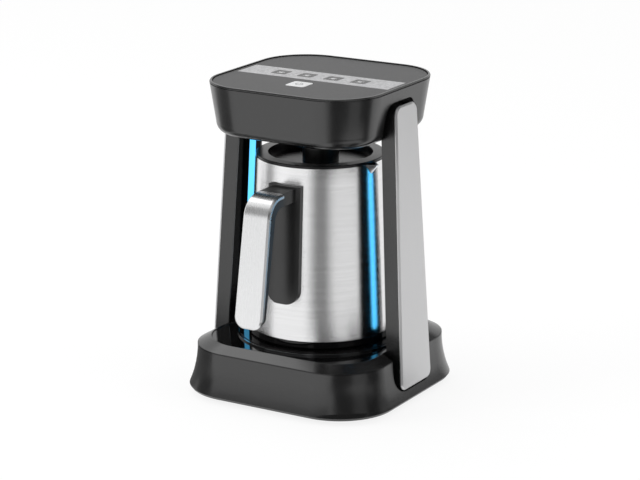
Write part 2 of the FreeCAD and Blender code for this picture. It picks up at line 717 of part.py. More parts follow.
def make_heater():
    ring_in = S.seat_radius - S.seat_ring_wide
    plate_top = cylinder("heater_top", ring_in - S.fit_gap, S.seat_height - TRAY_TOP, z=TRAY_TOP)
    under = TRAY_TOP - S.heater_deep
    plate_low = cylinder("heater_low", S.tray_hole - S.fit_gap * 2, S.seat_height - under, z=under)
    keep("heater_plate", fuse("heater_plate", plate_top, plate_low))
    ring = cylinder("ring_disc", S.seat_radius, S.seat_height - S.seat_ring_drop - TRAY_TOP, z=TRAY_TOP)
    inside = cylinder("ring_hole", ring_in, as_size(2 * PAST), z=TRAY_TOP - PAST)
    keep("seat_ring", cut("seat_ring", ring, inside))

    middle = under - S.fit_gap - S.element_tube
    tube = doc.addObject("Part::Torus", "element_tube")
    tie(tube, "Radius1", S.element_radius)
    tie(tube, "Radius2", S.element_tube)
    tie(tube, "Angle3", S.element_sweep)
    place(tube, z=middle)
    # Turned so that the gap between the two ends faces the back.
    tube.Placement.Rotation = Rotation(Vector(0, 0, 1), 90 + (360 - S.element_sweep.number) / 2)
    legs = []
    for turn in (-1, 1):
        angle = math.radians(90 + turn * (360 - S.element_sweep.number) / 2)
        legs.append(cylinder("element_leg", S.element_tube * ALMOST, S.element_leg,
                             S.element_radius * round(math.cos(angle), 4),
                             S.element_radius * round(math.sin(angle), 4), middle - S.element_leg))
    keep("heating_element", fuse("heating_element", tube, *legs))
    keep("thermostat", cylinder("thermostat", S.thermostat_radius, S.thermostat_high,
                                z=under - S.thermostat_high))
    board_foot = BOTTOM_TOP + S.power_post
    keep("power_board", box("power_board", S.power_x, S.power_y, S.board_thick, z=board_foot))
    keep("relay", box("relay", S.relay_x, S.relay_y, S.relay_high,
                      x=S.power_x / 4, z=board_foot + S.board_thick))


# Pillars, made on the right and mirrored

def make_pillars():
    channel_in = SHELL_IN + S.panel_thick
    shell = cut("right_pillar", pillar_slab("pillar_block", SHELL_IN, SHELL_OUT),
                pillar_slab("panel_seat", SHELL_IN - PAST, channel_in, S.panel_edge),
                pillar_slab("channel", SHELL_IN - PAST, SHELL_OUT - S.channel_back, S.channel_edge))
    trim = pillar_slab("right_trim", SHELL_OUT, ZERO)
    chamfer(trim, S.trim_bevel, lambda edge: near(edge.BoundBox.XMin, 0) and near(edge.BoundBox.XMax, 0))

    panel_block = pillar_slab("panel_block", SHELL_IN, channel_in, S.panel_edge + S.fit_gap)
    surround = light_block("light_surround", SHELL_IN - S.light_proud, channel_in, S.light_surround)
    slot = light_block("light_slot", SHELL_IN - PAST, channel_in + PAST, S.fit_gap)
    panel = cut("right_inner_panel", fuse("panel_with_surround", panel_block, surround), slot)
    bar = light_block("light_bar", SHELL_IN - S.light_proud + S.light_sunk, channel_in, ZERO)
    flange = light_block("light_flange", channel_in, channel_in + S.light_flange_thick, S.light_flange)
    light = fuse("right_light_bar", bar, flange)
    board = make_led_board()
    for item in (shell, trim, panel, light, board):
        name = item.Label
        keep(name, item)
        left = name.replace("right", "left")
        keep(left, mirrored(left, item))


def light_block(name, inner, outer, spread):
    half = S.light_half + spread
    round_end = half * ALMOST
    return pillar_block(name, inner, outer, S.light_foot - spread, S.light_top + spread, half, half,
                        round_end, round_end)


def make_led_board():
    back = SHELL_OUT - S.channel_back
    face = back - S.led_thick
    body = doc.addObject("PartDesign::Body", "right_light_board")
    lean(body)
    foot = S.light_foot
    outline = ((-S.led_half, foot), (S.led_half, foot), (S.led_half, S.light_top), (-S.led_half, S.light_top))
    pad(body, polygon(body, "YZ_Plane", outline, face), S.led_thick)
    first = foot + S.light_half
    half = S.chip_size / 2
    square = ((-half, first - half), (half, first - half), (half, first + half), (-half, first + half))
    chip = pad(body, polygon(body, "YZ_Plane", square, face - S.chip_high), S.chip_high)
    row = body.newObject("PartDesign::LinearPattern", "light_chips")
    row.Originals = [chip]
    row.Direction = (chip.Profile[0], ["V_Axis"])
    tie(row, "Length", S.light_top - S.light_foot - S.light_half * 2)
    tie(row, "Occurrences", S.chip_count)
    body.Tip = row
    return body


# Head

PANEL_TOP = S.overall_height - S.top_drop
PANEL_FOOT = PANEL_TOP - S.top_thick
MOUTH_IN = S.head_edge_in + S.rim_wall
PANEL_HALF = S.head_half - MOUTH_IN - S.top_gap
PANEL_CORNER = S.head_corner - MOUTH_IN - S.top_gap
BOARD_TOP = PANEL_FOOT - S.control_post
BOARD_FOOT = BOARD_TOP - S.board_thick
# One window for each number of cups.
CUPS = 4


def head_section(body, inward, height):
    return rounded_square(body, S.head_half - inward, S.head_corner - inward, height)


def make_head_shell():
    outer = new_body("head_outer")
    loft(outer, [head_section(outer, S.head_foot_in, S.head_foot),
                 head_section(outer, S.head_round_mid_in, S.head_round_at),
                 head_section(outer, S.head_taper, S.head_taper_end)], False)
    loft(outer, [head_section(outer, S.head_taper, S.head_taper_end),
                 head_section(outer, ZERO, S.overall_height - S.head_edge),
                 head_section(outer, S.head_edge_in, S.overall_height)], True)
    cavity = new_body("head_cavity")
    wall = S.plastic_wall
    loft(cavity, [head_section(cavity, S.head_foot_in + wall, S.head_foot + S.head_floor),
                  head_section(cavity, S.head_taper + wall, S.head_taper_end),
                  head_section(cavity, MOUTH_IN + S.head_ledge, PANEL_FOOT)], True)
    liners = both_sides(head_notch("head_liner", LINER_IN, S.notch_wall))
    hollow = cut("head_hollow", cavity, *liners)
    mouth = new_body("head_mouth")
    pad(mouth, head_section(mouth, MOUTH_IN, PANEL_FOOT), as_size(PAST))
    # A groove runs round the wall just under the top edge.
    seam_foot = S.overall_height - S.head_edge - S.seam_high
    around = new_body("seam_around")
    pad(around, head_section(around, -as_size(PAST), seam_foot), S.seam_high)
    within = new_body("seam_within")
    pad(within, head_section(within, S.seam_deep, seam_foot - PAST), as_size(2 * PAST))
    seam = cut("head_seam", around, within)
    sensor_hole = cylinder("sensor_hole", S.sensor_radius + S.fit_gap, as_size(2 * PAST),
                           z=S.head_foot - PAST)
    notches = both_sides(head_notch("head_notch", NOTCH_IN, ZERO))
    keep("head_shell", cut("head_shell", outer, hollow, mouth, seam, sensor_hole, *notches))


def make_sensor():
    boss = cone("boss_cone", S.boss_low_radius, S.boss_top_radius, S.head_foot - S.boss_low, S.boss_low)
    hole = cylinder("boss_bore", S.sensor_radius + S.fit_gap, as_size(4 * PAST), z=S.boss_low - PAST)
    keep("sensor_boss", cut("sensor_boss", boss, hole))
    inside = S.head_foot + S.head_floor
    foot = S.boss_low + S.sensor_up
    stem = cylinder("sensor_stem", S.sensor_radius, inside - foot, z=foot)
    flange = cylinder("sensor_flange", S.sensor_flange, S.sensor_flange_thick, z=inside)
    keep("foam_sensor", fuse("foam_sensor", stem, flange))


def control_posts():
    reach_x = S.control_x / 2 - S.post_inset
    front = -(S.control_front - S.post_inset)
    back = S.control_back - S.post_inset
    return [(reach_x, back), (-reach_x, back), (-reach_x, front), (reach_x, front)]


def strip_block(name, spread, low, height):
    """The silver strip's own outline: a band with the panel's round corners at its ends."""
    outline = new_body(name + "_outline")
    half = PANEL_HALF - S.strip_in + spread
    pad(outline, rounded_square(outline, half, PANEL_CORNER - S.strip_in + spread, low), height)
    band = box(name + "_band", PANEL_HALF * 2, (S.strip_half + spread) * 2, height, z=low)
    return common(name, outline, band)


def make_top_panel():
    sheet_body = new_body("top_sheet")
    pad(sheet_body, rounded_square(sheet_body, PANEL_HALF, PANEL_CORNER, PANEL_FOOT), S.top_thick)
    strip_low = PANEL_TOP - S.strip_thick
    groove = strip_block("strip_groove", S.window_gap, strip_low, as_size(PAST))
    key_hole = new_body("key_hole", y=-S.key_place)
    pad(key_hole, rounded_square(key_hole, S.key_half + S.fit_gap, S.key_corner + S.fit_gap,
                                 PANEL_FOOT - PAST), as_size(2 * PAST))
    posts = [cylinder("top_post", S.post_radius, S.control_post, x, y, BOARD_TOP)
             for x, y in control_posts()]
    hole_deep = S.control_screw_reach + S.screw_spare
    holes = [cylinder("top_post_hole", S.control_screw + S.fit_gap, hole_deep, x, y, BOARD_TOP)
             for x, y in control_posts()]
    keep("top_panel", cut("top_panel", fuse("top_with_posts", sheet_body, *posts), groove, key_hole, *holes))

    blank = strip_block("strip_blank", ZERO, strip_low, S.strip_thick)
    window_holes = []
    windows = []
    for index in range(CUPS):
        x = S.window_step * (index - (CUPS - 1) / 2)
        hole = new_body("window_hole", x=x)
        pad(hole, rounded_square(hole, S.window_half + S.window_gap, S.window_corner + S.window_gap,
                                 strip_low - PAST), as_size(2 * PAST))
        window_holes.append(hole)
        window = new_body("window", x=x)
        pad(window, rounded_square(window, S.window_half, S.window_corner, strip_low), S.strip_thick)
        windows.append(window)
    keep("key_strip", cut("key_strip", blank, *window_holes))
    keep("cup_windows", group("cup_windows", windows))


def make_power_key():
    cap_top = PANEL_TOP + S.key_proud
    flange_top = PANEL_FOOT - S.fit_gap
    flange_low = flange_top - S.key_flange_thick
    body = new_body("power_key", y=-S.key_place)
    half = S.key_half + S.key_flange
    pad(body, rounded_square(body, half, S.key_corner + S.key_flange, flange_low), S.key_flange_thick)
    pad(body, rounded_square(body, S.key_half, S.key_corner, flange_top), cap_top - flange_top)
    fillet(body, S.key_proud, lambda edge: near(edge.BoundBox.ZMin, cap_top.number))
    keep("power_key", body)
    plate = box("switch_body", S.switch_size, S.switch_size, S.switch_high, y=-S.key_place, z=BOARD_TOP)
    plunger_top = flange_low - S.key_travel - S.key_rest
    plunger = cylinder("switch_plunger", S.plunger_radius, plunger_top - BOARD_TOP, y=-S.key_place,
                       z=BOARD_TOP)
    keep("tact_switch", fuse("tact_switch", plate, plunger))


def make_control_board():
    depth = S.control_front + S.control_back
    middle = (S.control_back - S.control_front) / 2
    blank = box("board_blank", S.control_x, depth, S.board_thick, y=middle, z=BOARD_FOOT)
    holes = [cylinder("board_hole", S.control_screw + S.fit_gap, as_size(PAST), x, y, BOARD_FOOT - PAST / 2)
             for x, y in control_posts()]
    keep("control_board", cut("control_board", blank, *holes))
    screws = []
    for x, y in control_posts():
        head = cylinder("board_screw_head", S.control_screw_head, S.control_screw_high, x, y,
                        BOARD_FOOT - S.control_screw_high)
        shank = cylinder("board_screw_shank", S.control_screw, S.control_screw_reach + S.board_thick, x, y,
                         BOARD_FOOT)
        screws.append(fuse("board_screw", head, shank))
    keep("board_screws", group("board_screws", screws))
    keep("buzzer", cylinder("buzzer", S.buzzer_radius, S.buzzer_high, S.control_x / 4, y=middle,
                            z=BOARD_FOOT - S.buzzer_high))


# Pot

POT_SLOPE = (S.pot_foot_radius - S.pot_mouth_radius) / (S.pot_mouth - S.pot_ring_top)


def pot_radius(height):
    """Outer radius of the steel cone at a height."""
    return S.pot_mouth_radius + POT_SLOPE * (S.pot_mouth - height)


def spout_section(body, reach, half, nose, height):
    root = S.pot_mouth_radius - S.spout_root
    sketch = polygon(body, "XY_Plane", ((root, -half), (reach, -nose), (reach, nose), (root, half)), height)
    turned = Rotation(Vector(0, 0, -1), S.spout_turn.number)
    sketch.AttachmentOffset = Placement(sketch.AttachmentOffset.Base, turned)
    tie(sketch, "AttachmentOffset.Rotation.Angle", S.spout_turn)
    return sketch


def add_spout(body, inward, top, kind):
    """Grow the spout on the cone, or hollow it when kind is subtractive."""
    low = spout_section(body, pot_radius(S.spout_foot) - inward, S.spout_nose, S.spout_nose / 2, S.spout_foot)
    high = spout_section(body, S.pot_mouth_radius + S.spout_reach - inward, S.spout_half - inward,
                         S.spout_nose - inward / 2, top)
    loft(body, [low, high], True, kind)


def make_pot():
    body = new_body("pot_body")
    floor = S.pot_foot + S.pot_base_thick
    ledge = S.pot_ring_top + S.pot_wall
    outside = ((ZERO, S.pot_foot), (S.pot_base_radius, S.pot_foot), (S.pot_base_radius, S.pot_ring_top),
               (S.pot_foot_radius, S.pot_ring_top), (S.pot_mouth_radius, S.pot_mouth), (ZERO, S.pot_mouth))
    spin(body, polygon(body, "XZ_Plane", outside))
    add_spout(body, ZERO, S.pot_mouth, "AdditiveLoft")
    inner_mouth = S.pot_mouth_radius - S.pot_wall
    inner_foot = pot_radius(ledge) - S.pot_wall
    inner_base = S.pot_base_radius - S.pot_wall
    above = S.pot_mouth + PAST
    inside = ((ZERO, floor), (inner_base, floor), (inner_base, ledge), (inner_foot, ledge),
              (inner_mouth, S.pot_mouth), (inner_mouth, above), (ZERO, above))
    spin(body, polygon(body, "XZ_Plane", inside), "Groove")
    add_spout(body, S.pot_wall, S.pot_mouth, "SubtractiveLoft")
    keep("pot_body", body)

    ring = new_body("pot_foot_ring")
    low = S.pot_foot + S.foot_ring_play
    high = S.pot_ring_top - S.fit_gap
    hole = S.pot_base_radius + S.fit_gap
    bevel = S.foot_ring_bevel
    outline = ((hole, low), (S.pot_foot_radius - bevel, low), (S.pot_foot_radius, low + bevel),
               (S.pot_foot_radius, high), (hole, high))
    spin(ring, polygon(ring, "XZ_Plane", outline))
    keep("pot_foot_ring", ring)


def middle_normal(face):
    low_u, high_u, low_v, high_v = face.ParameterRange
    return face.normalAt((low_u + high_u) / 2, (low_v + high_v) / 2)


def looks_out(face):
    """True for the faces of the plate that show: towards the user, or up on the arm."""
    normal = middle_normal(face)
    return near(normal.x, 0) and (normal.y < -0.1 or normal.z > 0.9)


def is_side(face):
    normal = middle_normal(face)
    return abs(normal.x) > 0.1 or normal.z < -0.9


def bevelled(name, blank, width):
    """The plate with a bevel where its outside meets its sides and its foot."""
    doc.recompute()
    chosen = []
    for number, edge in enumerate(blank.Shape.Edges, 1):
        faces = blank.Shape.ancestorsOfType(edge, Part.Face)
        if any(looks_out(face) for face in faces) and any(is_side(face) for face in faces):
            chosen.append((number, width.number, width.number))
    item = doc.addObject("Part::Chamfer", name)
    item.Base = blank
    item.Edges = chosen
    return item


def make_handle():
    cone_high = S.pot_mouth - S.pot_ring_top
    near_pot = S.fit_gap

    def pot_cone(name, offset):
        return cone(name, S.pot_foot_radius + offset, S.pot_mouth_radius + offset, cone_high, S.pot_ring_top)

    pad_block = new_body("pad_block")
    pad_outline = ((-S.pad_half, S.pad_foot), (S.pad_half, S.pad_foot), (S.pad_half, S.pad_top),
                   (-S.pad_half, S.pad_top))
    pad(pad_block, polygon(pad_block, "XZ_Plane", pad_outline, S.pot_mouth_radius / 2), S.grip_foot_out)
    depth = Vector(0, 1, 0)
    low = S.pad_foot.number
    fillet(pad_block, S.pad_corner, lambda edge: runs_along(edge, depth) and near(edge.CenterOfMass.z, low))
    pad_skin = common("pad_skin", pad_block, pot_cone("pad_face", S.pad_thick + near_pot))

    # The plate lies on the moulding, so the moulding's outer line is the plate's, moved in.
    slope = (S.grip_foot_out - S.grip_top_out) / (S.arm_top - S.grip_foot)
    stretch = square_root(slope * slope + 1)

    def corner_out(inward):
        return -(S.grip_top_out - inward * (stretch - slope))

    def foot_out(inward):
        return -(S.grip_foot_out - inward * stretch)

    def front_block(name, half, foot, corner):
        """A tall block whose two lower corners are round when seen from the front."""
        block = new_body(name)
        top_half = half - S.grip_narrow
        outline = ((-half, foot), (half, foot), (top_half, S.pot_mouth), (-top_half, S.pot_mouth))
        pad(block, polygon(block, "XZ_Plane", outline), S.grip_foot_out + PAST)
        foot_z = foot.number
        depth = Vector(0, 1, 0)
        fillet(block, corner, lambda edge: runs_along(edge, depth) and near(edge.CenterOfMass.z, foot_z))
        return block

    def round_bend(body, radius, y, z):
        across = Vector(1, 0, 0)
        at_y = y.number
        at_z = z.number
        fillet(body, radius, lambda edge: runs_along(edge, across)
               and near(edge.CenterOfMass.y, at_y) and near(edge.CenterOfMass.z, at_z))

    core = new_body("core")
    sunk = S.plate_thick + near_pot
    root = -S.pot_mouth_radius
    arm_low = S.arm_top - S.arm_thick
    core_foot = S.grip_foot + S.plate_bevel
    outline = ((root, arm_low), (-S.grip_top_in, arm_low), (-S.grip_foot_in, core_foot),
               (foot_out(sunk), core_foot), (corner_out(sunk), S.arm_top - sunk),
               (-(S.plate_start - near_pot), S.arm_top - sunk), (-(S.plate_start - near_pot), S.arm_top),
               (root, S.arm_top))
    pad(core, polygon(core, "YZ_Plane", outline), S.core_half * 2, middle=True)
    round_bend(core, S.grip_bend - sunk, corner_out(sunk), S.arm_top - sunk)
    round_bend(core, S.grip_bend_in, -S.grip_top_in, arm_low)
    grip = common("grip_core", core, front_block("core_front", S.core_half, core_foot,
                                                 S.grip_foot_corner - S.plate_bevel))
    keep("handle_moulding", cut("handle_moulding", fuse("moulding", pad_skin, grip),
                                pot_cone("pot_side", near_pot)))

    plate = new_body("plate_band")
    thick = S.plate_thick
    band = ((-S.plate_start, S.arm_top), (-S.plate_start, S.arm_top - thick),
            (corner_out(thick), S.arm_top - thick), (foot_out(thick), S.grip_foot),
            (-S.grip_foot_out, S.grip_foot), (-S.grip_top_out, S.arm_top))
    pad(plate, polygon(plate, "YZ_Plane", band), S.plate_half * 2, middle=True)
    round_bend(plate, S.grip_bend, -S.grip_top_out, S.arm_top)
    round_bend(plate, S.grip_bend - thick, corner_out(thick), S.arm_top - thick)
    blank = common("plate_blank", plate, front_block("plate_front", S.plate_half, S.grip_foot,
                                                     S.grip_foot_corner))
    keep("handle_plate", bevelled("handle_plate", blank, S.plate_bevel))


# Lid

def make_lid():
    top = S.pot_mouth + S.lid_thick
    dish = top - S.lid_dish_deep
    dish_floor = S.lid_dish_radius - S.lid_dish_slope
    under = dish - S.lid_floor
    skirt_in = S.lid_skirt_radius - S.lid_skirt_wall
    skirt_foot = S.pot_mouth - S.lid_skirt_deep
    groove_top = S.pot_mouth - S.seal_place
    groove_low = groove_top - S.seal_thick
    groove_in = S.lid_skirt_radius - S.seal_deep
    bevel = S.lid_edge
    body = new_body("lid_disc")
    outline = ((ZERO, dish), (dish_floor, dish), (S.lid_dish_radius, top),
               (S.lid_radius - bevel, top), (S.lid_radius, top - bevel), (S.lid_radius, S.pot_mouth),
               (S.lid_skirt_radius, S.pot_mouth), (S.lid_skirt_radius, groove_top), (groove_in, groove_top),
               (groove_in, groove_low), (S.lid_skirt_radius, groove_low), (S.lid_skirt_radius, skirt_foot),
               (skirt_in, skirt_foot), (skirt_in, S.pot_mouth - S.lid_edge),
               (S.lid_dish_radius + S.lid_thick, S.pot_mouth - S.lid_edge), (dish_floor + S.lid_thick, under),
               (ZERO, under))
    spin(body, polygon(body, "XZ_Plane", outline))
    way = cylinder("lid_hole", S.knob_screw + S.fit_gap, as_size(2 * PAST), z=S.pot_mouth - PAST)
    keep("lid_disc", cut("lid", body, way))

    seal = new_body("lid_seal")
    seal_out = S.pot_mouth_radius - S.pot_wall - S.fit_gap
    rubber = ((groove_in + S.fit_gap, groove_low + S.fit_gap), (seal_out, groove_low + S.fit_gap),
              (seal_out, groove_top - S.fit_gap), (groove_in + S.fit_gap, groove_top - S.fit_gap))
    spin(seal, polygon(seal, "XZ_Plane", rubber))
    keep("lid_seal", seal)

    knob = new_body("knob")
    shape = ((ZERO, dish), (S.knob_radius, dish), (S.knob_radius, S.knob_top), (ZERO, S.knob_top))
    spin(knob, polygon(knob, "XZ_Plane", shape))
    top_z = S.knob_top.number
    fillet(knob, S.knob_round,
           lambda edge: near(edge.BoundBox.ZMin, top_z) and near(edge.BoundBox.ZMax, top_z))
    screw_top = S.knob_top - S.knob_round * 2
    bore = cylinder("knob_bore", S.knob_screw + S.fit_gap, screw_top + S.fit_gap - dish, z=dish)
    keep("lid_knob", cut("lid_knob", knob, bore))
    head = cylinder("knob_screw_head", S.knob_screw_head, S.lid_thick, z=under - S.lid_thick)
    shank = cylinder("knob_screw_shank", S.knob_screw, screw_top - under, z=under)
    keep("knob_screw", fuse("knob_screw", head, shank))


make_base_shell()
make_tray()
make_bottom()
make_gland()
make_heater()
make_pillars()
make_head_shell()
make_sensor()
make_top_panel()
make_power_key()
make_control_board()
make_pot()
make_handle()
make_lid()
doc.recompute()

failed = [item.Label for item in doc.Objects if "Invalid" in item.State or "Error" in item.State]
if failed:
    raise SystemExit("failed objects: " + ", ".join(failed))
for name, item in parts.items():
    if item.Shape.isNull() or not item.Shape.isValid() or not item.Shape.Solids:
        raise SystemExit("bad shape: " + name)

os.makedirs("parts", exist_ok=True)
for name, item in parts.items():
    item.Shape.exportStep(f"parts/{name}.step")
    print(f"{name}: {len(item.Shape.Solids)} solid(s), {item.Shape.Volume / 1000:.2f} cm3")
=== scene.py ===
# %% [markdown]
# # An electric coffee maker for Turkish coffee
#
# The machine is a stand with a small steel pot. The stand is a square base with a heater, two leaning
# pillars with a blue light bar each, and a head with touch keys. Its shapes come from the solid model
# as they are. This file gives them their finishes, draws the signs on the keys, and sets up a small
# photo studio with a camera.

# %% Load the frame
import math
import bmesh
import bpy
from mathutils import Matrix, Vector


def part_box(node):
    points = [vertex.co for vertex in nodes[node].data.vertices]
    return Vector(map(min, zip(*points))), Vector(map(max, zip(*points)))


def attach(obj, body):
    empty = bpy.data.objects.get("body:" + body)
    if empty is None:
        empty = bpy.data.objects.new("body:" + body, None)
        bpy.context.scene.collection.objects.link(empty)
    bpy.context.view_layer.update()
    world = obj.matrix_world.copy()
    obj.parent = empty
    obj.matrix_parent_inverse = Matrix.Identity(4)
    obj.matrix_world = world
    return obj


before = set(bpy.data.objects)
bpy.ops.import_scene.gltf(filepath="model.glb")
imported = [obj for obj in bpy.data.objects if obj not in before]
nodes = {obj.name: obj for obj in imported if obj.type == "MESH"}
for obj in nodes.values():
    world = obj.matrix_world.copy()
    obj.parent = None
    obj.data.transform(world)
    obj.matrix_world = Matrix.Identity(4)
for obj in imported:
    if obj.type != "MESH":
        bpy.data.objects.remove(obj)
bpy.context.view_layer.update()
MM = 0.001

# %% [markdown]
# ## Where the axis is
#
# The floor under the middle of the whole box is the origin, but the handle makes that box longer to
# the front. The pot's own middle is therefore a little behind the origin, and everything that is round
# about the pot needs that place.

# %% The pot's axis
pot_low, pot_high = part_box("pot_foot_ring")
AXIS = Vector(((pot_low.x + pot_high.x) / 2, (pot_low.y + pot_high.y) / 2, 0))
print("axis at", [round(v / MM, 1) for v in AXIS], "mm")

# %% [markdown]
# ## A short way to write shaders
#
# A finish is a small net of nodes. Written out node by node it hides the idea, so a socket is wrapped
# in a class that knows sums: noise * 2 + 1 then adds the two Math nodes by itself. A vector needs Vector
# Math instead, and colours are mixed by blend, because a Math node would turn a colour grey.

# %% Sockets that can be added and multiplied
class Wire:
    """An output socket. Sums with it add the nodes that work them out."""

    def __init__(self, paint, socket):
        self.paint = paint
        self.socket = socket

    def out(self, name):
        return Wire(self.paint, self.socket.node.outputs[name])

    def combine(self, operation, first, second):
        kind = "ShaderNodeVectorMath" if self.socket.type == "VECTOR" else "ShaderNodeMath"
        return self.paint.node(kind, {"operation": operation}, [first, second])

    def __add__(self, other):
        return self.combine("ADD", self, other)

    def __radd__(self, other):
        return self.combine("ADD", other, self)

    def __sub__(self, other):
        return self.combine("SUBTRACT", self, other)

    def __rsub__(self, other):
        return self.combine("SUBTRACT", other, self)

    def __mul__(self, other):
        return self.combine("MULTIPLY", self, other)

    def __rmul__(self, other):
        return self.combine("MULTIPLY", other, self)


def colour4(value):
    return (*value, 1.0) if len(value) == 3 else tuple(value)


class Paint:
    """A material, or the world, and the nodes in it."""

    def __init__(self, owner):
        owner.use_nodes = True
        self.owner = owner
        self.tree = owner.node_tree

    def link(self, socket, value):
        if isinstance(value, Wire):
            self.tree.links.new(value.socket, socket)
        elif socket.type == "RGBA":
            socket.default_value = colour4(value)
        elif socket.type == "VECTOR" and isinstance(value, (int, float)):
            socket.default_value = (value,) * 3
        else:
            socket.default_value = value

    def node(self, kind, settings=None, inputs=()):
        """Add a node: its settings first, then what its sockets get, by name or in order."""
        item = self.tree.nodes.new(kind)
        for name, value in (settings or {}).items():
            setattr(item, name, value)
        pairs = inputs.items() if isinstance(inputs, dict) else enumerate(inputs)
        for name, value in pairs:
            self.link(item.inputs[name], value)
        return Wire(self, item.outputs[0])

    def blend(self, factor, first, second):
        """Mix two colours."""
        item = self.tree.nodes.new("ShaderNodeMix")
        item.data_type = "RGBA"
        colours = [socket for socket in item.inputs if socket.type == "RGBA"]
        self.link(item.inputs[0], factor)
        self.link(colours[0], first)
        self.link(colours[1], second)
        return Wire(self, [socket for socket in item.outputs if socket.type == "RGBA"][0])

    def between(self, value, low, high, to_low, to_high):
        """Spread a value from one range over another, held at its ends."""
        inputs = {"Value": value, "From Min": low, "From Max": high, "To Min": to_low, "To Max": to_high}
        return self.node("ShaderNodeMapRange", {"clamp": True}, inputs)

    def noise(self, place, scale, detail, roughness):
        inputs = {"Vector": place, "Scale": scale, "Detail": detail, "Roughness": roughness}
        return self.node("ShaderNodeTexNoise", {}, inputs)

    def shader(self, **inputs):
        """Set the sockets of the surface shader that every new material has."""
        for name, value in inputs.items():
            self.link(self.tree.nodes["Principled BSDF"].inputs[name.replace("_", " ")], value)

    def own_surface(self):
        """What the surface shader gives."""
        return Wire(self, self.tree.nodes["Principled BSDF"].outputs[0])

    def show(self, result):
        """Let the material show this shader."""
        self.link(self.tree.nodes["Material Output"].inputs["Surface"], result)


print("shader helpers ready")

# %% [markdown]
# ## The camera
#
# The photograph was taken from a little above, about 30 degrees to the right of the front, from almost
# two metres away with a long lens. The place was worked out from the outlines of head, base and pot.

# %% Camera
camera_data = bpy.data.cameras.new("studio_camera")
camera = bpy.data.objects.new("studio_camera", camera_data)
bpy.context.scene.collection.objects.link(camera)
CAMERA_PLACE = AXIS + Vector((0.8786, -1.4786, 0.5981))
CAMERA_AIM = AXIS + Vector((-0.0004, -0.0002, 0.1111))
camera.location = CAMERA_PLACE
camera.rotation_euler = (CAMERA_AIM - CAMERA_PLACE).to_track_quat("-Z", "Y").to_euler()
camera_data.sensor_width = 36
camera_data.lens = 135.8
bpy.context.scene.camera = camera
bpy.context.scene.view_settings.view_transform = "Standard"
print("camera", round((CAMERA_PLACE - AXIS).length, 3), "m away")

# %% [markdown]
# ## The studio
#
# Black plastic and steel show what stands around them more than their own colour, so the studio is a
# large part of their looks. It is white all round. The camera sees it as pure white, but the light that
# it gives, and what mirrored rays see of it, are set lower, so that the steel keeps its shades.

# %% World
world = bpy.data.worlds.new("studio")
bpy.context.scene.world = world
sky = Paint(world)
ray = sky.node("ShaderNodeLightPath")
ROOM_LIGHT = 0.62
MIRRORED_LIGHT = 0.84
seen = ray.out("Is Camera Ray") + ray.out("Is Transmission Ray")
strength = seen * (1.0 - ROOM_LIGHT) + ray.out("Is Glossy Ray") * (MIRRORED_LIGHT - ROOM_LIGHT) + ROOM_LIGHT
background = sky.tree.nodes["Background"]
background.inputs["Color"].default_value = (1, 1, 1, 1)
sky.link(background.inputs["Strength"], strength)
print("room light", ROOM_LIGHT)

# %% [markdown]
# ## The floor
#
# The photograph's floor is as white as its background, with a faint shadow. A plain white floor would
# look grey, so most of what the camera sees of it glows, and the rest still takes the soft shadow.

# %% Floor
def flat_sheet(name, corners):
    mesh = bpy.data.meshes.new(name)
    mesh.from_pydata([tuple(corner) for corner in corners], [], [tuple(range(len(corners)))])
    item = bpy.data.objects.new(name, mesh)
    bpy.context.scene.collection.objects.link(item)
    return item


def new_material(name):
    return Paint(bpy.data.materials.new(name))


FLOOR_SIZE = 6.0
quarters = ((-1, -1), (1, -1), (1, 1), (-1, 1))
floor = flat_sheet("floor", [(x * FLOOR_SIZE, y * FLOOR_SIZE, 0) for x, y in quarters])
floor_paint = new_material("floor_white")
floor_paint.shader(Base_Color=(0.93, 0.93, 0.93), Roughness=0.9, Specular_IOR_Level=0.1)
FLOOR_GLOW = 1.06
glow = floor_paint.node("ShaderNodeEmission", {}, {"Color": (1, 1, 1), "Strength": FLOOR_GLOW})
floor_ray = floor_paint.node("ShaderNodeLightPath")
floor_seen = floor_ray.out("Is Camera Ray") + floor_ray.out("Is Transmission Ray")
floor_mirrored = floor_ray.out("Is Glossy Ray")
GLOW_SHARE = 0.8
MIRRORED_SHARE = 0.55
share = floor_seen * GLOW_SHARE + floor_mirrored * MIRRORED_SHARE
floor_paint.show(floor_paint.node("ShaderNodeMixShader", {}, [share, floor_paint.own_surface(), glow]))
floor.data.materials.append(floor_paint.owner)
print("floor", 2 * FLOOR_SIZE, "m square")

# %% [markdown]
# ## Soft boxes
#
# Three large lamps shape the form: one high on the left, one on the right and one above. On satin
# plastic a mirrored lamp shows as a bright blot, which the photograph doesn't have, so the two at the
# sides are hidden from mirrored rays and only the one above draws its soft light on the head.

# %% Soft boxes
LAMPS_AIM = AXIS + Vector((0, 0, 0.12))


def soft_box(name, place, size, power, mirrored):
    """An area lamp; one that isn't mirrored lights the object but draws no spot on it."""
    lamp = bpy.data.lights.new(name, "AREA")
    lamp.shape = "RECTANGLE"
    lamp.size = size[0]
    lamp.size_y = size[1]
    lamp.energy = power
    item = bpy.data.objects.new(name, lamp)
    bpy.context.scene.collection.objects.link(item)
    item.location = AXIS + Vector(place)
    item.rotation_euler = (LAMPS_AIM - item.location).to_track_quat("-Z", "Y").to_euler()
    item.visible_camera = False
    item.visible_glossy = mirrored


soft_box("box_left", (-1.5, -1.3, 1.1), (1.2, 1.2), 16, mirrored=False)
soft_box("box_right", (1.9, 0.3, 0.9), (0.9, 1.2), 8, mirrored=False)
soft_box("box_above", (-1.05, 0.3, 1.85), (1.2, 1.2), 4, mirrored=True)
print("three soft boxes")

